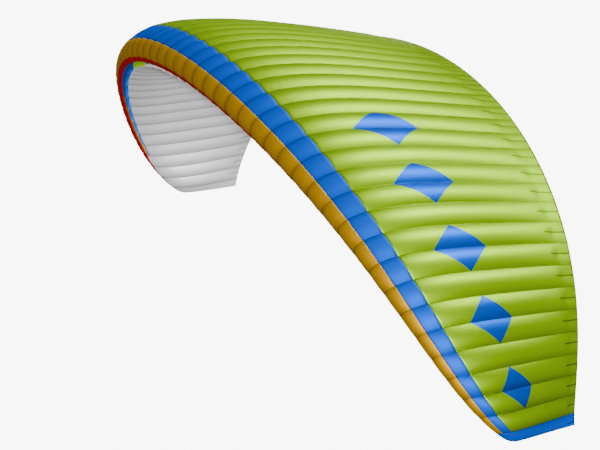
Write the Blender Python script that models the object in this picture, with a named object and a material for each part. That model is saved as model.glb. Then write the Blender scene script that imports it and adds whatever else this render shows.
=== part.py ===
"""Paraglider wing: an inflated ram-air canopy of 48 cells, as its sewn panels and ribs.

Metres. X is the span (right tip at +X), the leading edge faces -Y, and +Z is up. The origin
is on the underside of the middle rib, where the suspension lines take hold of the wing.
"""
import bpy
import numpy as np

# Planform, laid flat
CELLS = 24                                       # cells on each side of the middle seam
HALF_SPAN = 5.93                                 # half of the flat span
CELL_TAPER = (0.158, 0.019)                      # cells narrow from the middle to the tip
ROOT_CHORD = 2.741
CHORD = (-0.697, -0.119, 0.100, -0.061)          # u^2 .. u^8, share of the root chord
LEADING_EDGE = (0.998, 0.726, -1.313, 0.933)     # u^2 .. u^8, metres aft of the nose
# Arc seen from the front: tangent angle in radians, g + g^3 + g^5
ARC = (0.787, 1.029, -0.264)
TWIST = (0.101, -0.050, 0.092)                   # radians nose up, 1 + u^2 + u^4
# Profile
THICKNESS = 0.225
CAMBER = -0.006
CAMBER_AT = 0.3
# Flatter than the symmetric section: most, share of the chord; where it starts; two exponents
UPPER_FLAT = (0.016, 0.10, 1.3, 1.0)
LOWER_FLAT = (0.0505, 0.03, 1.1, 2.0)
FLAT_UNTIL = 0.92                                # the underside is as deep as the top from here
BILLOW = 0.13                                    # crown of a cell, share of its width
TAIL_GAP = 0.0026                                # half of the height left at the trailing edge
TIP_ROUNDING = 0.14                              # front corner cut off the tip, share of the chord

# Cloth
CLOTH = 0.002
RIB = 0.0015
SEAM = 0.0008                                    # half of the gap between two sewn panels
CLEAR = 0.0015                                   # ribs to skins

# Panel edges around the profile, as q: 0 at the nose, q*q is the share of the chord,
# positive above and negative below. Each row: at the middle, change with u^2.
BLUE_BACK = (0.314, 0.054)
GOLD_BACK = (0.149, 0.073)
RED_TOP = (-0.109, 0.0)
INTAKE_TOP = (-0.142, -0.110)
INTAKE_BACK = (-0.211, -0.074)
CLOSED_TOP = -0.122                              # the red lip narrows to this at the tip panels
INTAKE_CELLS = 20                                # the intake runs this far to each side
GOLD_JOIN = 12                                   # the gold band is joined at this seam
SIDE_CELLS = 23                                  # past this cell comes the tip panel
TIP_END = 23.72                                  # where the tip panel ends, in cells

COLOURS = {
    "lime": (0.58, 0.90, 0.012, 1.0),
    "blue": (0.006, 0.16, 0.72, 1.0),
    "gold": (0.60, 0.31, 0.004, 1.0),
    "red": (0.50, 0.002, 0.004, 1.0),
    "white": (0.82, 0.82, 0.83, 1.0),
    "rib_white": (0.74, 0.75, 0.76, 1.0),
}

# Stations along each panel, as shares of the way from its first edge to its last
UPPER_STEPS = (0.0, 0.12, 0.27, 0.45, 0.64, 0.83, 1.0)
LOWER_STEPS = (0.0, 0.17, 0.36, 0.58, 0.79, 1.0)
TIP_STEPS = (0.0, 0.3, 0.6, 0.8, 0.93, 1.0)      # across the tip panel


def powers(coefficients, u, first):
    """Sum of the coefficients times u^first, u^(first + 2) and so on."""
    return sum(a * u ** (first + 2 * i) for i, a in enumerate(coefficients))


def chord_at(u):
    return ROOT_CHORD * (1 + powers(CHORD, u, 2))


def profile(q):
    """Chord share and half-height share of the profile at q, smooth round the nose."""
    f = np.minimum(q * q, 1.0)
    half = 5 * THICKNESS * (0.2969 * np.abs(q) - 0.1260 * f - 0.3516 * f**2 + 0.2843 * f**3 - 0.1036 * f**4)
    return f, np.sign(q) * half


def hump(f, start, rise, fall):
    """g^rise (1-g)^fall scaled to 1 at its highest, with g from 0 at the start to 1 at the tail."""
    g, top = np.clip((f - start) / (1 - start), 0.0, 1.0), rise / (rise + fall)
    return (g / top) ** rise * ((1 - g) / (1 - top)) ** fall


def flatter(u, q):
    """How far the two sides lie inward of the symmetric section, in chords, upward counted plus."""
    f = np.minimum(q * q, 1.0)
    below = LOWER_FLAT[0] * hump(f, *LOWER_FLAT[1:]) * (1 - np.minimum(np.abs(u) / FLAT_UNTIL, 1.0) ** 10)
    return np.where(q > 0, -UPPER_FLAT[0] * hump(f, *UPPER_FLAT[1:]), below)


def camber(f):
    p = CAMBER_AT
    front = (2 * p * f - f * f) / p**2
    back = (1 - 2 * p + 2 * p * f - f * f) / (1 - p) ** 2
    return CAMBER * np.where(f < p, front, back)


def arc(u):
    """Span, drop, tangent angle and flat distance of the arc at u, -1 (left tip) to 1."""
    g = np.linspace(0.0, 1.0, 801)
    s = HALF_SPAN * (g + CELL_TAPER[0] * (g - g**3) + CELL_TAPER[1] * (g - g**5))
    angle = powers(ARC, g, 1)
    middle = (angle[1:] + angle[:-1]) / 2
    x = np.concatenate([[0.0], np.cumsum(np.diff(s) * np.cos(middle))])
    z = -np.concatenate([[0.0], np.cumsum(np.diff(s) * np.sin(middle))])
    a, sign = np.abs(u), np.sign(u)
    return sign * np.interp(a, g, x), np.interp(a, g, z), sign * np.interp(a, g, angle), np.interp(a, g, s)


def cell_width(u):
    """Flat width of the cell at u."""
    half = 0.5 / CELLS
    a = np.clip(np.abs(u), half, 1.0 - half)
    return arc(a + half)[3] - arc(a - half)[3]


def surface(u, q, lift=0.0):
    """Points of the wing's outer surface at span share u and profile place q.

    Between two seams the cloth crowns outward as BILLOW * width * 4t(1-t), less at the nose
    and the trailing edge. Across the tip panel the height closes as sqrt(1 - e^2), with e from
    0 at its seam to 1 at its end. lift moves the points outward, in metres.
    """
    u, q = np.broadcast_arrays(np.asarray(u, float), np.asarray(q, float))
    x, z, angle, _ = arc(u)
    chord = chord_at(u)
    twist = powers(TWIST, u, 0)
    cell = np.abs(u) * CELLS
    t = cell - np.floor(cell + 1e-9)
    e = np.clip((cell - SIDE_CELLS) / (TIP_END - SIDE_CELLS), 0.0, 1.0)
    closing = np.sqrt(np.maximum(1 - e * e, 0.0))
    f, half = profile(q)
    f1, half1 = profile(q + 1e-4)
    f0, half0 = profile(q - 1e-4)
    df, dh = f1 - f0, (half1 - half0) * np.maximum(closing, 0.05)
    length = np.hypot(df, dh)
    above = np.clip(q / 0.1, -1.0, 1.0)
    ends = np.clip(0.20 + 0.15 * above + (5 + above) * f, 0.0, 1.0) * np.clip(1.05 - f**4, 0.0, 1.0)
    out = BILLOW * cell_width(u) * 4 * t * (1 - t) * ends * (e == 0) + lift
    rounding = TIP_ROUNDING * (1 - closing) ** 2 * (1 - f)
    along = chord * (f + rounding) - out * dh / length
    seam_gap = TAIL_GAP * np.maximum(f, 1.8 * e) * np.clip(q / 0.12, -1.0, 1.0)
    height = chord * (camber(f) + (half + flatter(u, q)) * closing) + seam_gap + out * df / length
    y = powers(LEADING_EDGE, u, 2) + along * np.cos(twist) + height * np.sin(twist)
    up = height * np.cos(twist) - along * np.sin(twist)
    return np.stack([x + up * np.sin(angle), y, z + up * np.cos(angle)], -1)


ORIGIN = surface(0.0, -np.sqrt(CAMBER_AT))


def drawn_back(u, q, side):
    """q moved by half of a seam's gap, towards the upper side (1) or the lower side (-1)."""
    f1, h1 = profile(q + 1e-3)
    f0, h0 = profile(q - 1e-3)
    return q + side * SEAM * 2e-3 / (chord_at(u) * np.hypot(f1 - f0, h1 - h0))


def row(values, side=0):
    """A panel's edge as a function of u."""
    return lambda u: drawn_back(u, values[0] + values[1] * u * u, side)


def lip(side):
    """The red lip's lower edge as a function of u; past the intake it narrows to the tip panel."""
    def q_at(u):
        closed = np.clip((np.abs(u) * CELLS - INTAKE_CELLS) / (SIDE_CELLS - INTAKE_CELLS), 0.0, 1.0)
        return drawn_back(u, (1 - closed) * row(INTAKE_TOP)(u) + closed * CLOSED_TOP, side)
    return q_at


def lower_front(u):
    """Front edge of the lower skin: behind the intake, and up to the red lip past its ends."""
    cell = np.abs(u) * CELLS
    share = np.clip((cell - INTAKE_CELLS) / 0.06, 0.0, 1.0)
    thin_end = np.clip(cell - SIDE_CELLS, 0.0, 1.0) * 0.03
    return (1 - share) * row(INTAKE_BACK)(u) + share * lip(-1)(u) - thin_end


def trailing_edge(sign):
    return lambda u: sign + 0.0 * u


def material(name):
    """Plain coated cloth of the named colour."""
    if name in bpy.data.materials:
        return bpy.data.materials[name]
    m = bpy.data.materials.new(name)
    m.use_nodes = True
    shader = m.node_tree.nodes["Principled BSDF"]
    shader.inputs["Base Color"].default_value = COLOURS[name]
    shader.inputs["Roughness"].default_value = 0.55
    shader.inputs["Metallic"].default_value = 0.0
    return m


def add_object(name, vertices, faces, colour, smooth):
    mesh = bpy.data.meshes.new(name)
    mesh.from_pydata([tuple(v) for v in vertices], [], faces)
    mesh.update()
    mesh.materials.append(material(colour))
    if smooth:
        mesh.shade_smooth()
    ob = bpy.data.objects.new(name, mesh)
    bpy.context.collection.objects.link(ob)
    return ob


def panel(name, first, last, stations, steps, colour):
    """One cloth panel at the given span stations, from one q edge to another, 2 mm thick."""
    u = np.asarray(stations) / CELLS
    q = first(u)[:, None] + (last(u) - first(u))[:, None] * np.asarray(steps)[None, :]
    points = surface(u[:, None], q) - ORIGIN
    rows, columns = q.shape
    faces = [(i * columns + j, (i + 1) * columns + j, (i + 1) * columns + j + 1, i * columns + j + 1)
             for i in range(rows - 1) for j in range(columns - 1)]
    ob = add_object(name, points.reshape(-1, 3), faces, colour, True)
    shell = ob.modifiers.new("cloth", "SOLIDIFY")
    shell.thickness = CLOTH
    shell.offset = -1.0
    shell.use_even_offset = True


def rib(name, seam):
    """Flat plate across the arc at a seam, cut to the profile inside the two skins. Its corners
    sit at the skins' own stations, and its tail 8% short of the last pair."""
    u = seam / CELLS
    inset = -(CLOTH + CLEAR)
    upper = row(BLUE_BACK, 1)(u) + (1 - row(BLUE_BACK, 1)(u)) * np.asarray(UPPER_STEPS[1:])
    lower = lower_front(u) + (-1 - lower_front(u)) * np.asarray(LOWER_STEPS[1:])
    top, bottom = surface(u, upper, inset), surface(u, lower, inset)
    for side in (top, bottom):
        side[-1] = side[-2] + 0.92 * (side[-1] - side[-2])
    outline = np.concatenate([top, bottom[::-1]]) - ORIGIN
    angle = float(arc(u)[2])
    across = np.array([np.cos(angle), 0.0, -np.sin(angle)]) * RIB / 2
    n = len(outline)
    vertices = np.concatenate([outline - across, outline + across])
    faces = [tuple(range(n)), tuple(range(2 * n - 1, n - 1, -1))]
    faces += [(i, n + i, n + (i + 1) % n, (i + 1) % n) for i in range(n)]
    add_object(name, vertices, faces, "rib_white", False)


def stations(first, last, sign):
    """Two stations a cell from one seam to another, half of the gap short of both seams."""
    cells = np.arange(2 * first, 2 * last + 1) / 2
    cells[[0, -1]] += np.array([1, -1]) * SEAM / cell_width(cells[[0, -1]] / CELLS)
    return np.sort(sign * cells)


def main():
    for ob in list(bpy.data.objects):
        bpy.data.objects.remove(ob, do_unlink=True)
    tip = SIDE_CELLS + (TIP_END - SIDE_CELLS) * np.asarray(TIP_STEPS)
    whole = np.unique(np.concatenate([stations(0, SIDE_CELLS, 1)[:-1], [INTAKE_CELLS + 0.06], tip]))
    tip[0] += 2 * SEAM / cell_width(1.0)                  # clear of the last rib
    both = np.arange(-2 * SIDE_CELLS + 1, 2 * SIDE_CELLS) / 2
    both = np.concatenate([stations(0, SIDE_CELLS, -1)[:1], both, stations(0, SIDE_CELLS, 1)[-1:]])
    panel("blue_band", row(GOLD_BACK, 1), row(BLUE_BACK, -1), both, (0, 0.5, 1), "blue")
    for name, sign in (("left", -1), ("right", 1)):
        half = stations(0, SIDE_CELLS, sign)
        panel(f"upper_skin_{name}", row(BLUE_BACK, 1), trailing_edge(1), half, UPPER_STEPS, "lime")
        for part, first, last in (("inner", 0, GOLD_JOIN), ("outer", GOLD_JOIN, SIDE_CELLS)):
            panel(f"gold_nose_band_{name}_{part}", row(RED_TOP, 1), row(GOLD_BACK, -1),
                  stations(first, last, sign), (0, 0.33, 0.66, 1), "gold")
        panel(f"red_intake_lip_{name}", lip(1), row(RED_TOP, -1), half, (0, 1), "red")
        panel(f"lower_skin_{name}", trailing_edge(-1), lower_front, np.sort(sign * whole),
              1 - np.array(LOWER_STEPS[::-1]), "white")
        panel(f"tip_panel_{name}", lip(1), trailing_edge(1), np.sort(sign * tip),
              (0, 0.06, 0.13, 0.21, 0.31, 0.44, 0.6, 0.78, 1), "blue")
    for seam in range(-SIDE_CELLS, SIDE_CELLS + 1):
        rib("rib_middle" if seam == 0 else f"rib_{'left' if seam < 0 else 'right'}_{abs(seam):02d}", seam)


main()
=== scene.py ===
from math import radians

import bpy
import numpy as np
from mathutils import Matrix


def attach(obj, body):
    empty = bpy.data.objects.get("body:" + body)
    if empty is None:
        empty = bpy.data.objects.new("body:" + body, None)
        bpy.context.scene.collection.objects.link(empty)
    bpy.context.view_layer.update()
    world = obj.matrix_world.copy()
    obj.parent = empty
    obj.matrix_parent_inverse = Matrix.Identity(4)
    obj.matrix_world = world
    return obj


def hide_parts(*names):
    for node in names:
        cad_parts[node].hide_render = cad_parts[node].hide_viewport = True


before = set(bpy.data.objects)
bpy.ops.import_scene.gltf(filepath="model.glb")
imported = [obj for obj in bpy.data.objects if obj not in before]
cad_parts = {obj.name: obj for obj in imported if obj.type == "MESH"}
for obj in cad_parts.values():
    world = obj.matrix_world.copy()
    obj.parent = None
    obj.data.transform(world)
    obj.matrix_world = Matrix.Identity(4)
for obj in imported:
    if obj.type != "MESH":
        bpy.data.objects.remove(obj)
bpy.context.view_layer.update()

# ---------------------------------------------------------------- sizes, in metres
# The wing flies along -Y with its right tip at +X. Place on the wing is given as cells from
# the middle seam (-24 to 24) and as q round the profile: 0 at the nose, q*q the share of the
# chord, positive above and negative below. u is the number of cells over 24. The rows of
# coefficients from CELL_TAPER to TWIST, the thickness and the camber come from a
# least-squares fit of the whole wing.
CELLS = 24                                       # on each side of the middle seam
HALF_SPAN = 5.93                                 # half of the flat span, at cell 24
CELL_TAPER = (0.158, 0.019)                      # cells narrow from the middle to the tip
ROOT_CHORD = 2.741
CHORD = (-0.697, -0.119, 0.100, -0.061)          # u^2 .. u^8, share of the root chord
LEADING_EDGE = (0.998, 0.726, -1.313, 0.933)     # u^2 .. u^8, metres aft of the nose
ARC = (0.787, 1.029, -0.264)                     # tangent angle in radians, u + u^3 + u^5
TWIST = (0.101, -0.050, 0.092)                   # radians nose up, 1 + u^2 + u^4
THICKNESS = 0.225                                # of the symmetric section, share of the chord
CAMBER, CAMBER_AT = -0.006, 0.3
# Flatter than the symmetric section: most, share of the chord; where it starts; two exponents
UPPER_FLAT = (0.016, 0.10, 1.3, 1.0)
LOWER_FLAT = (0.0505, 0.03, 1.1, 2.0)
FLAT_UNTIL = 0.92                                # the underside is as deep as the top from here
BILLOW = 0.13                                    # crown of a cell, share of its width
NOSE_BILLOW, ABOVE_BILLOW = 0.20, 0.15           # share of it at the nose; more above, less below
BILLOW_GROWTH, TAIL_BILLOW = 5, 1.05             # it grows by 5 f and fades as 1.05 - f^4
TAIL_GAP = 0.0026                                # half of the height left at the trailing edge
TAIL_SEAM = 0.90                                 # the tail's short seams begin, share of the chord
TAIL_EASE = 0.035                                # they draw the cloth in over this share
TAIL_PULL, TAIL_CROWNS = 0.8, 0.35               # crown lost there; crowns of the two half cells
TIP_ROUNDING = 0.14                              # front corner cut off the tip, share of the chord
CLOTH = 0.0015
SEAM = 0.0003                                    # half of the gap between two sewn panels
# Panel edges round the profile, as q at the middle and its change with u^2
BLUE_BACK = (0.314, 0.054)
GOLD_BACK = (0.149, 0.073)
RED_TOP = (-0.070, 0.0)
INTAKE_TOP = (-0.130, -0.090)
INTAKE_BACK = (-0.211, -0.074)
CLOSED_TOP = -0.110                              # the red lip narrows to this at the tip panels
INTAKE_CELLS, SIDE_CELLS, TIP_END = 20, 23, 23.72
GOLD_JOIN = 12                                   # the gold band is joined at this seam
# Cloth
GRID_PITCH, GRID_LINE = 0.024, 0.0024            # thicker threads
FELLED_WIDTH = 0.012                             # doubled cloth of a felled seam
STITCH_PITCH, STITCH_LENGTH, STITCH_AT, STITCH_HALF = 0.008, 0.0048, 0.004, 0.0012
# Reach from the seam: first of the painted shade along the seams, then of the puckers
PAINTED_SHADE_REACH, PUCKER_REACH = 0.07, 0.06          # from the seam
SHORT_SEAM_HALF, SHORT_SEAM_FROM = 0.035, 0.885  # half-width in cells; share of the chord
# Row of diamonds: first and last cell, cells from one to the next, centre and half-length
# in shares of the chord
MOTIF_FROM, MOTIF_CELLS, MOTIF_STEP = 7.5, 15.0, 3.0
MOTIF_CENTRE, MOTIF_HALF = 0.42, 0.135
# Studio
FLOOR = -45.0                                    # far below, as the wing hangs in the air
DOME_RADIUS = 150.0


# ---------------------------------------------------------------- shape
def powers(coefficients, u, first):
    """Sum of the coefficients times u^first, u^(first + 2) and so on."""
    return sum(a * u ** (first + 2 * i) for i, a in enumerate(coefficients))


def chord_at(u):
    return ROOT_CHORD * (1 + powers(CHORD, u, 2))


def profile(q):
    """Chord share f = q^2, and half-height: 5 times the thickness times
    0.2969 |q| - 0.126 f - 0.3516 f^2 + 0.2843 f^3 - 0.1036 f^4."""
    f = np.minimum(q * q, 1.0)
    half = 5 * THICKNESS * (
        0.2969 * np.abs(q) - 0.1260 * f - 0.3516 * f**2 + 0.2843 * f**3 - 0.1036 * f**4)
    return f, np.sign(q) * half


def hump(f, start, rise, fall):
    """g^rise (1-g)^fall scaled to 1 at its highest, with g from 0 at the start to 1 at the tail."""
    g, top = np.clip((f - start) / (1 - start), 0.0, 1.0), rise / (rise + fall)
    return (g / top) ** rise * ((1 - g) / (1 - top)) ** fall


def flatter(u, q):
    """How far the two sides lie inward of the symmetric section: a hump along the chord, on the
    underside times 1 - (u/0.92)^10."""
    f = np.minimum(q * q, 1.0)
    outward = np.minimum(np.abs(u) / FLAT_UNTIL, 1.0)
    below = LOWER_FLAT[0] * hump(f, *LOWER_FLAT[1:]) * (1 - outward**10)
    return np.where(q > 0, -UPPER_FLAT[0] * hump(f, *UPPER_FLAT[1:]), below)


def camber(f):
    """Mean line: a parabola up to its highest place and another from there to the tail."""
    p = CAMBER_AT
    front = (2 * p * f - f * f) / p**2
    back = (1 - 2 * p + 2 * p * f - f * f) / (1 - p) ** 2
    return CAMBER * np.where(f < p, front, back)


def arc(u):
    """Span, drop, tangent angle and flat distance: the angle is a polynomial of the span share,
    and span and drop are the sums of its cosine and sine along the flat distance."""
    g = np.linspace(0.0, 1.0, 801)
    s = HALF_SPAN * (g + CELL_TAPER[0] * (g - g**3) + CELL_TAPER[1] * (g - g**5))
    angle = powers(ARC, g, 1)
    middle = (angle[1:] + angle[:-1]) / 2
    x = np.concatenate([[0.0], np.cumsum(np.diff(s) * np.cos(middle))])
    z = -np.concatenate([[0.0], np.cumsum(np.diff(s) * np.sin(middle))])
    a, sign = np.abs(u), np.sign(u)
    span, drop, turn, flat = (np.interp(a, g, line) for line in (x, z, angle, s))
    return sign * span, drop, sign * turn, sign * flat


def cell_width(u):
    half = 0.5 / CELLS
    a = np.clip(np.abs(u), half, 1.0 - half)
    return arc(a + half)[3] - arc(a - half)[3]


def surface(u, q):
    """The wing's skin. In a plane across the arc lies the profile, turned by the twist. The cloth
    between two seams stands out by BILLOW * width * 4t(1-t); behind TAIL_SEAM a short seam in
    mid-cell pulls it in, so that the crown goes over to two half-wide ones. Across the tip
    panel the profile's height closes as sqrt(1 - e^2)."""
    x, z, angle, _ = arc(u)
    chord, twist = chord_at(u), powers(TWIST, u, 0)
    cell = np.abs(u) * CELLS
    t = cell - np.floor(cell + 1e-9)
    e = np.clip((cell - SIDE_CELLS) / (TIP_END - SIDE_CELLS), 0.0, 1.0)
    closing = np.sqrt(np.maximum(1 - e * e, 0.0))
    f, half = profile(q)
    f1, half1 = profile(q + 1e-4)
    f0, half0 = profile(q - 1e-4)
    df, dh = f1 - f0, (half1 - half0) * np.maximum(closing, 0.05)
    length = np.hypot(df, dh)
    above = np.clip(q / 0.1, -1.0, 1.0)
    ends = np.clip(NOSE_BILLOW + ABOVE_BILLOW * above + (BILLOW_GROWTH + above) * f, 0.0, 1.0)
    ends = ends * np.clip(TAIL_BILLOW - f**4, 0.0, 1.0)
    pulled = np.clip((f - TAIL_SEAM) / TAIL_EASE, 0.0, 1.0)
    pulled = pulled * pulled * (3 - 2 * pulled)
    t2 = (2 * t) % 1.0
    crown = 4 * t * (1 - t) * (1 - TAIL_PULL * pulled)
    crown = crown + 4 * t2 * (1 - t2) * TAIL_CROWNS * pulled
    out = BILLOW * cell_width(u) * crown * ends * (e == 0)
    rounding = TIP_ROUNDING * (1 - closing) ** 2 * (1 - f)
    along = chord * (f + rounding) - out * dh / length
    seam_gap = TAIL_GAP * np.maximum(f, 1.8 * e) * np.clip(q / 0.12, -1.0, 1.0)
    height = chord * (camber(f) + (half + flatter(u, q)) * closing) + seam_gap + out * df / length
    y = powers(LEADING_EDGE, u, 2) + along * np.cos(twist) + height * np.sin(twist)
    up = height * np.cos(twist) - along * np.sin(twist)
    return np.stack([x + up * np.sin(angle), y, z + up * np.cos(angle)], -1)


ORIGIN = surface(np.zeros(1), np.full(1, -np.sqrt(CAMBER_AT)))[0]


def drawn_back(u, q, side):
    """q moved by half of a seam's gap, towards the upper side (1) or the lower side (-1)."""
    f1, h1 = profile(q + 1e-3)
    f0, h0 = profile(q - 1e-3)
    return q + side * SEAM * 2e-3 / (chord_at(u) * np.hypot(f1 - f0, h1 - h0))


def row(values, side=0):
    """A panel's edge: q = v0 + v1 u^2, drawn back from the seam."""
    return lambda u: drawn_back(u, values[0] + values[1] * u * u, side)


def lip(side):
    """The red lip's lower edge; past the intake it narrows evenly to the tip panel."""
    def q_at(u):
        closed = np.clip((np.abs(u) * CELLS - INTAKE_CELLS) / (SIDE_CELLS - INTAKE_CELLS), 0.0, 1.0)
        return drawn_back(u, (1 - closed) * row(INTAKE_TOP)(u) + closed * CLOSED_TOP, side)
    return q_at


def lower_front(u):
    """Front edge of the lower skin: behind the intake, and up to the red lip past its ends."""
    cell = np.abs(u) * CELLS
    share = np.clip((cell - INTAKE_CELLS) / 0.06, 0.0, 1.0)
    thin_end = np.clip(cell - SIDE_CELLS, 0.0, 1.0) * 0.03
    return (1 - share) * row(INTAKE_BACK)(u) + share * lip(-1)(u) - thin_end


def tail(sign):
    return lambda u: sign + 0.0 * u


ACROSS = np.array([0.0, 0.03, 0.09, 0.17, 0.27, 0.38, 0.5, 0.62, 0.73, 0.83, 0.91, 0.97])
TIP = SIDE_CELLS + (TIP_END - SIDE_CELLS) * np.sin(np.linspace(0, np.pi / 2, 14))
NOTCH = INTAKE_CELLS + np.array([0.02, 0.04, 0.06])


def stations(first, last):
    """Twelve stations a cell from one seam to another, half of the gap short of both seams."""
    cells = np.append((np.arange(first, last)[:, None] + ACROSS).ravel(), last)
    cells[[0, -1]] += np.array([1, -1]) * SEAM / cell_width(cells[[0, -1]] / CELLS)
    return cells


def panel(name, node, first, last, stations, steps, finishes, colour_slot, flat, area):
    """Sheet over a grid of span stations and shares of the way between two panel edges. The cut
    map holds metres along span and profile, the layout map cells and chord share, and the
    attribute to_seam metres to the nearest rib seam."""
    u = np.asarray(stations) / CELLS
    q = first(u)[:, None] + (last(u) - first(u))[:, None] * np.asarray(steps)[None, :]
    uu = u[:, None] + 0 * q
    points = surface(uu, q) - ORIGIN
    rows, columns = q.shape
    index = np.arange(rows * columns).reshape(rows, columns)
    faces = np.stack([index[:-1, :-1], index[1:, :-1], index[1:, 1:], index[:-1, 1:]], -1)
    faces = faces.reshape(-1, 4)
    mesh = bpy.data.meshes.new(name)
    mesh.from_pydata(points.reshape(-1, 3), [], faces)
    lengths = np.linalg.norm(np.diff(points, axis=1), axis=2)
    around = np.concatenate([np.zeros((rows, 1)), np.cumsum(lengths, 1)], 1)
    cell = uu * CELLS
    for label, a, b in (("cut", arc(uu)[3], around), ("layout", cell, np.minimum(q * q, 1.0))):
        layer = mesh.uv_layers.new(name=label)
        values = np.stack([a, b], -1).reshape(-1, 2)[faces.ravel()]
        layer.data.foreach_set("uv", values.astype(np.float32).ravel())
    t = np.abs(cell) % 1.0
    to_seam = np.minimum(t, 1 - t) * cell_width(uu)
    distance = mesh.attributes.new("to_seam", "FLOAT", "POINT")
    distance.data.foreach_set("value", to_seam.astype(np.float32).ravel())
    for finish in finishes:
        mesh.materials.append(finish)
    mesh.shade_smooth()
    ob = bpy.data.objects.new(name, mesh)
    bpy.context.collection.objects.link(ob)
    shell = ob.modifiers.new("cloth", "SOLIDIFY")
    shell.thickness = CLOTH
    shell.offset = -1.0
    shell.use_even_offset = True
    shell.material_offset = 1                    # the inner side is the bare one
    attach(ob, "root")
    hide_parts(node)
    return ob


# ---------------------------------------------------------------- finishes
def linear(code):
    """Linear RGBA of an sRGB hex colour: c/12.92 up to 0.04045, ((c+0.055)/1.055)^2.4 above."""
    c = np.array([int(code[i:i + 2], 16) for i in (1, 3, 5)]) / 255
    return (*np.where(c <= 0.04045, c / 12.92, ((c + 0.055) / 1.055) ** 2.4), 1.0)


def add(tree, kind, settings=None, **links):
    """One node with its settings; each link is an input's name (or index after 'i') and a value
    or an output socket."""
    n = tree.nodes.new(kind)
    for key, value in (settings or {}).items():
        setattr(n, key, value)
    for key, value in links.items():
        numbered = key[0] == "i" and key[1:].isdigit()
        socket = n.inputs[int(key[1:]) if numbered else key.replace("_", " ")]
        if isinstance(value, bpy.types.NodeSocket):
            tree.links.new(value, socket)
        else:
            socket.default_value = value
    return n


def math(tree, operation, a, b=0.0, c=0.0):
    return add(tree, "ShaderNodeMath", {"operation": operation}, i0=a, i1=b, i2=c).outputs[0]


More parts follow.
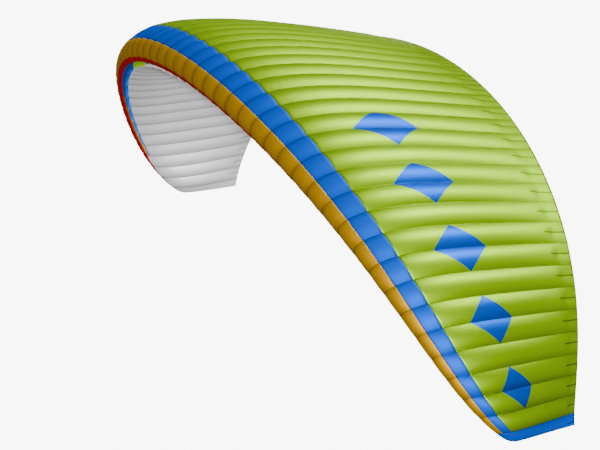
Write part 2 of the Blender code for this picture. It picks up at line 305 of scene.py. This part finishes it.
def ripstop(name, code, shine, roughness, motif=None):
    """Silicone-coated ripstop nylon: a smooth, slightly shiny cloth in which a thicker thread
    every few millimetres draws a faint grid. motif is the hex colour of a row of sewn diamonds."""
    m = bpy.data.materials.new(name)
    m.use_nodes = True
    t = m.node_tree
    shader = t.nodes["Principled BSDF"]
    cut = add(t, "ShaderNodeUVMap", {"uv_map": "cut"}).outputs[0]
    layout = add(t, "ShaderNodeSeparateXYZ", None,
                 Vector=add(t, "ShaderNodeUVMap", {"uv_map": "layout"}).outputs[0])
    cell, share = layout.outputs[0], layout.outputs[1]
    to_seam = add(t, "ShaderNodeAttribute", {"attribute_name": "to_seam"}).outputs["Fac"]
    place = add(t, "ShaderNodeSeparateXYZ", None, Vector=cut)
    side = math(t, "ABSOLUTE", cell)

    # Grid of the thicker threads, drawn at 24 mm instead of 5 mm so that it shows from near by
    grid = None
    for axis in (0, 1):
        to_line = math(t, "PINGPONG", place.outputs[axis], GRID_PITCH / 2)
        line = math(t, "LESS_THAN", to_line, GRID_LINE / 2)
        grid = line if grid is None else math(t, "MAXIMUM", grid, line)
    # Doubled cloth of the felled seam, 12 mm wide, with its stitch holes every 8 mm
    felled = math(t, "LESS_THAN", to_seam, FELLED_WIDTH / 2)
    # Within 70 mm of a seam the colour darkens towards the seam: painted shade in the valley along
    # the seam
    near = math(t, "MULTIPLY_ADD", to_seam, -1 / PAINTED_SHADE_REACH, 1.0)
    painted_seam_shade = math(t, "POWER", math(t, "MAXIMUM", near, 0.0), 1.5)
    to_stitch = math(t, "PINGPONG", place.outputs[1], STITCH_PITCH / 2)
    stitch = math(t, "MULTIPLY", math(t, "COMPARE", to_seam, STITCH_AT, STITCH_HALF),
                  math(t, "LESS_THAN", to_stitch, STITCH_LENGTH / 2))
    # Short seams in mid-cell that shape the trailing edge; the dark line along them is painted
    # shade of the crease they pull into the cloth
    middle = math(t, "ABSOLUTE", math(t, "SUBTRACT", math(t, "FRACT", side), 0.5))
    short = math(t, "MULTIPLY", math(t, "LESS_THAN", middle, SHORT_SEAM_HALF),
                 math(t, "GREATER_THAN", share, SHORT_SEAM_FROM))

    colour = linear(code)
    base = add(t, "ShaderNodeRGB").outputs[0]
    base.default_value = colour
    if motif:
        # Diamonds two cells wide, centred on every third seam from 9 to 21 on each side
        step = math(t, "SUBTRACT", side, MOTIF_FROM)
        in_step = math(t, "MODULO", step, MOTIF_STEP)
        across = math(t, "ABSOLUTE", math(t, "SUBTRACT", in_step, MOTIF_STEP / 2))
        off_centre = math(t, "ABSOLUTE", math(t, "SUBTRACT", share, MOTIF_CENTRE))
        along = math(t, "DIVIDE", off_centre, MOTIF_HALF)
        inside = math(t, "LESS_THAN", math(t, "ADD", across, along), 1.0)
        ranged = math(t, "MULTIPLY", math(t, "GREATER_THAN", step, 0.0),
                      math(t, "LESS_THAN", step, MOTIF_CELLS))
        base = add(t, "ShaderNodeMix", {"data_type": "RGBA"},
                   i0=math(t, "MULTIPLY", inside, ranged), i6=base, i7=linear(motif)).outputs[2]
    # Each gore comes from its own length of the roll, so its tone differs a little
    gore = add(t, "ShaderNodeTexWhiteNoise", {"noise_dimensions": "1D"},
               W=math(t, "FLOOR", cell)).outputs["Value"]
    cloud = add(t, "ShaderNodeTexNoise", None,
                Vector=cut, Scale=1.3, Detail=3.0, Roughness=0.5).outputs[0]
    tone = math(t, "ADD", math(t, "MULTIPLY_ADD", gore, 0.05, 0.955),
                math(t, "MULTIPLY_ADD", cloud, 0.06, -0.03))
    # Darker shares: painted shade along the seams and along the short seams' creases, then doubled
    # cloth, stitch holes and thread grid
    darker = ((painted_seam_shade, 0.34), (felled, 0.22), (stitch, 0.35), (short, 0.62), (grid, 0.035))
    for mask, depth in darker:
        tone = math(t, "MULTIPLY", tone, math(t, "MULTIPLY_ADD", mask, -depth, 1.0))
    shaded = add(t, "ShaderNodeVectorMath", {"operation": "SCALE"}, i0=base, Scale=tone)
    t.links.new(shaded.outputs[0], shader.inputs["Base Color"])

    # Puckers run out from the seams every 35 mm or so and die away within 60 mm
    stretched = add(t, "ShaderNodeMapping", None, Vector=cut, Scale=(4.0, 28.0, 1.0)).outputs[0]
    pucker = add(t, "ShaderNodeTexNoise", None, Vector=stretched, Scale=1.0, Detail=2.0).outputs[0]
    fade = math(t, "SUBTRACT", 1.0, math(t, "DIVIDE", to_seam, PUCKER_REACH))
    fade = math(t, "MAXIMUM", fade, 0.0)
    relief = math(t, "ADD", math(t, "MULTIPLY", pucker, math(t, "MULTIPLY", fade, 0.004)),
                  math(t, "MULTIPLY", grid, 0.0002))
    relief = math(t, "ADD", relief, math(t, "MULTIPLY", felled, 0.0006))
    bump = add(t, "ShaderNodeBump", None, Strength=0.6, Distance=1.0, Height=relief)
    t.links.new(bump.outputs[0], shader.inputs["Normal"])
    # The thin coat over dyed threads gives a wide satin shine in the cloth's own colour
    shader.inputs["Roughness"].default_value = roughness
    shader.inputs["Metallic"].default_value = shine
    shader.inputs["Specular IOR Level"].default_value = 0.0
    return m


def bare_side(code, painted_glow):
    """The uncoated inner side of the cloth, matt, with a painted glow: an emission in its own
    colour, of the given strength, stands in for the daylight that comes through so thin a cloth and
    lights the inside of the cells."""
    m = bpy.data.materials.new("painted_glow_bare_side_of_ripstop_" + code[1:].lower())
    m.use_nodes = True
    shader = m.node_tree.nodes["Principled BSDF"]
    shader.inputs["Base Color"].default_value = linear(code)
    shader.inputs["Roughness"].default_value = 0.8
    shader.inputs["Specular IOR Level"].default_value = 0.2
    shader.inputs["Emission Color"].default_value = linear(code)
    shader.inputs["Emission Strength"].default_value = painted_glow
    return m


def rib_cloth():
    """Resin-finished rib cloth: firmer, matt and a cool light grey, with a faint thread grid."""
    m = bpy.data.materials.new("resin_finished_rib_cloth_grey")
    m.use_nodes = True
    t = m.node_tree
    shader = t.nodes["Principled BSDF"]
    place = add(t, "ShaderNodeTexCoord").outputs["Object"]
    turned = add(t, "ShaderNodeMapping", None, Vector=place, Rotation=(0, radians(90), 0))
    grid = add(t, "ShaderNodeTexBrick", {"offset": 0.0}, Vector=turned.outputs[0],
               Color1=linear("#A9ACAF"), Color2=linear("#A6A9AC"), Mortar=linear("#989B9F"),
               Scale=1.0, Mortar_Size=GRID_LINE / 2, Brick_Width=GRID_PITCH,
               Row_Height=GRID_PITCH)
    t.links.new(grid.outputs["Color"], shader.inputs["Base Color"])
    shader.inputs["Roughness"].default_value = 0.7
    return m


# The second finish of each pair is the cloth's inner side, glowing with painted light of the given
# strength
LIME = (ripstop("coated_ripstop_lime", "#7EA800", 0.84, 0.5, motif="#004CB4"),
        bare_side("#7EA800", 0.7))
BLUE = (ripstop("coated_ripstop_blue", "#004CB8", 0.6, 0.62), bare_side("#004CB8", 0.35))
GOLD = (ripstop("coated_ripstop_gold", "#BA8C00", 0.7, 0.57), bare_side("#BA8C00", 0.3))
RED = (ripstop("coated_ripstop_red", "#B8141C", 0.5, 0.57), bare_side("#B8141C", 0.3))
WHITE = (ripstop("coated_ripstop_white", "#F8F8F8", 0.72, 0.6), bare_side("#F8F8F8", 0.1))

UPPER_STEPS = np.concatenate([np.linspace(0, 0.92, 48), np.linspace(0.93, 1.0, 11)])
LOWER_STEPS = np.concatenate([np.linspace(0, 0.08, 11), np.linspace(0.1, 1.0, 46)])
TIP_STEPS = np.linspace(0, 1, 61)

GOLD_CUT = {"inner": ((3.4, 0.21), 0.7), "outer": ((2.45, 0.19), 0.4)}
whole = np.unique(np.concatenate([stations(0, SIDE_CELLS)[:-1], NOTCH, TIP]))
for name, sign in (("left", -1), ("right", 1)):
    half = np.sort(sign * stations(0, SIDE_CELLS))
    panel(f"upper_cloth_{name}", f"upper_skin_{name}", row(BLUE_BACK, 1), tail(1), half,
          UPPER_STEPS, LIME, "lime", (5.95, 2.5), 11.9)
    for part, first, last in (("inner", 0, GOLD_JOIN), ("outer", GOLD_JOIN, SIDE_CELLS)):
        panel(f"gold_cloth_{name}_{part}", f"gold_nose_band_{name}_{part}",
              row(RED_TOP, 1), row(GOLD_BACK, -1), np.sort(sign * stations(first, last)),
              np.linspace(0, 1, 15), GOLD, "gold", *GOLD_CUT[part])
    panel(f"red_cloth_{name}", f"red_intake_lip_{name}", lip(1), row(RED_TOP, -1), half,
          np.linspace(0, 1, 5), RED, "red", (5.8, 0.075), 0.38)
    panel(f"lower_cloth_{name}", f"lower_skin_{name}", tail(-1), lower_front,
          np.sort(sign * whole), LOWER_STEPS, WHITE, "white", (5.95, 2.65), 12.1)
    panel(f"tip_cloth_{name}", f"tip_panel_{name}", lip(1), tail(1), np.sort(sign * TIP),
          TIP_STEPS, BLUE, "blue", (0.16, 0.87), 0.105)
both = np.concatenate([-stations(0, SIDE_CELLS)[:0:-1], [0.0], stations(0, SIDE_CELLS)[1:]])
panel("blue_cloth", "blue_band", row(GOLD_BACK, 1), row(BLUE_BACK, -1), both, np.linspace(0, 1, 12),
      BLUE, "blue", (11.9, 0.24), 2.45)

ribs = rib_cloth()
for name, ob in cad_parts.items():
    if name.startswith("rib_"):
        ob.data.materials.clear()
        ob.data.materials.append(ribs)

# ---------------------------------------------------------------- floor, light and camera
def backdrop(radius, steps=64, rings=24):
    """Pale, evenly self-lit floor that runs up into a dome: a flat disc of the radius, and over
    it radius times the cosine of the rise outwards and its sine upwards. It casts no shadow
    and its light doesn't fill the wing's shade."""
    rise = np.linspace(0, np.pi / 2, rings)
    r = np.concatenate([[1e-3], radius * np.cos(rise)])[:, None]
    z = FLOOR + np.concatenate([[0.0], radius * np.sin(rise)])[:, None]
    turn = np.linspace(0, 2 * np.pi, steps, endpoint=False)[None, :]
    points = np.stack([r * np.cos(turn), r * np.sin(turn), z + 0 * turn], -1).reshape(-1, 3)
    i, j = np.meshgrid(np.arange(rings), np.arange(steps), indexing="ij")
    k = (j + 1) % steps
    faces = np.stack([i * steps + j, (i + 1) * steps + j, (i + 1) * steps + k, i * steps + k], -1)
    faces = faces.reshape(-1, 4)
    mesh = bpy.data.meshes.new("studio_floor")
    mesh.from_pydata(points, [], faces)
    finish = bpy.data.materials.new("matt_studio_floor")
    finish.use_nodes = True
    shader = finish.node_tree.nodes["Principled BSDF"]
    shader.inputs["Base Color"].default_value = linear("#808080")
    shader.inputs["Roughness"].default_value = 0.9
    shader.inputs["Specular IOR Level"].default_value = 0.0
    shader.inputs["Emission Color"].default_value = (1, 1, 1, 1)
    shader.inputs["Emission Strength"].default_value = 8.0
    mesh.materials.append(finish)
    ob = bpy.data.objects.new("studio_floor", mesh)
    bpy.context.collection.objects.link(ob)
    ob.visible_diffuse = ob.visible_glossy = ob.visible_shadow = False


backdrop(DOME_RADIUS)

world = bpy.data.worlds.new("studio")
world.use_nodes = True
world.node_tree.nodes["Background"].inputs[0].default_value = (1, 1, 1, 1)
world.node_tree.nodes["Background"].inputs[1].default_value = 0.1
bpy.context.scene.world = world


def sun(name, azimuth, elevation, strength, softness):
    """A broad, far light from the given side; azimuth 0 is in front of the wing, 90 at +X."""
    lamp = bpy.data.lights.new(name, "SUN")
    lamp.energy = strength
    lamp.angle = radians(softness)
    ob = bpy.data.objects.new(name, lamp)
    ob.rotation_euler = (radians(90 - elevation), 0.0, radians(azimuth))
    bpy.context.collection.objects.link(ob)


sun("front", 72, 14.4, 9.0, 3)
sun("back", 194, 55, 4.0, 8)
sun("fill", 252, -14.4, 5.0, 20)                 # from under and behind, opposite to the front one

camera_data = bpy.data.cameras.new("camera")
camera_data.lens = 153.2
camera_data.clip_end = 500
camera = bpy.data.objects.new("camera", camera_data)
camera.location = (23.622, -7.641, 5.881)
camera.rotation_euler = (radians(73.271), radians(5.037), radians(69.775))
bpy.context.collection.objects.link(camera)
bpy.context.scene.camera = camera
